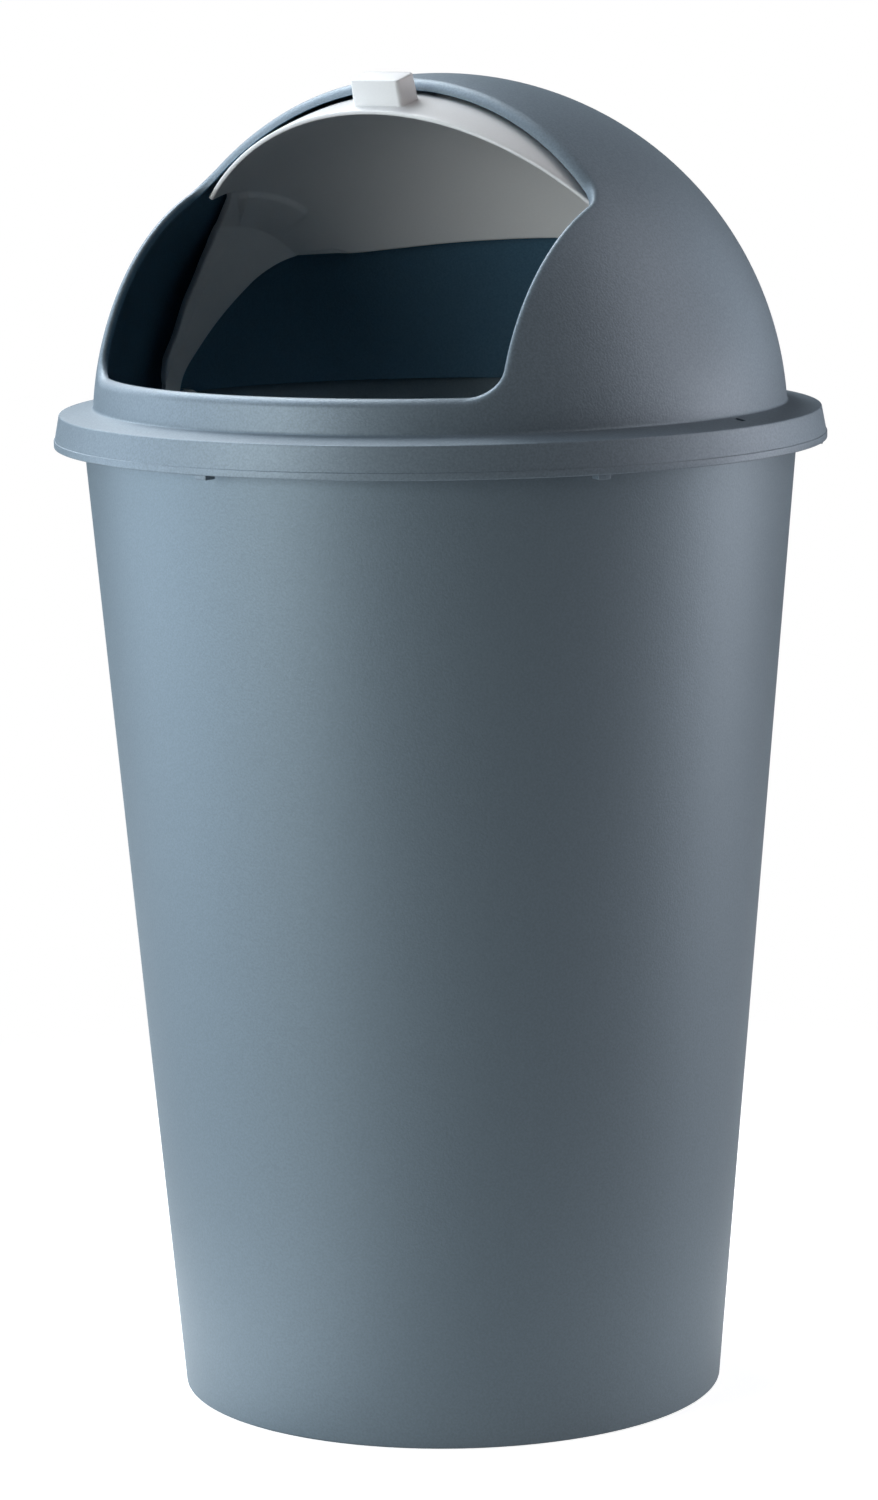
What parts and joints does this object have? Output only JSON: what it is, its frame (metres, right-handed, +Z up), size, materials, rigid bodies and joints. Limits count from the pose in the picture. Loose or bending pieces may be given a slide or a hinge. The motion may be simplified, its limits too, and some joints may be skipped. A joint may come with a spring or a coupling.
{
  "type": "waste bin",
  "caption": "Round tapered plastic waste bin with a lift-off domed hood and a turning flap, moved by a knob, that closes the throw-in opening.",
  "frame": {"origin": "centre of the bucket's foot, on the floor", "axes": "+Z up; the throw-in opening faces -Y; the flap's pivots lie along X"},
  "size_m": [0.4, 0.4, 0.6909],
  "materials": {
    "bucket_plastic": "fine matte grain, blue-grey",
    "hood_plastic": "satin with a fine metallic-looking fleck, blue-grey",
    "flap_plastic": "satin white",
    "knob_plastic": "satin white"
  },
  "bodies": {
    "bucket": {"bucket": "bucket_plastic"},
    "hood": {"hood": "hood_plastic"},
    "flap": {"flap": "flap_plastic", "knob": "knob_plastic"}
  },
  "joints": [
    {"name": "hood_lift", "type": "slide", "parent": "bucket", "child": "hood", "axis": [0, 0, 1], "range_m": [0, 0.2]},
    {"name": "flap_swing", "type": "hinge", "parent": "hood", "child": "flap", "pos_m": [0, 0, 0.508], "axis": [1, 0, 0], "range_deg": [0, 63.5]}
  ]
}
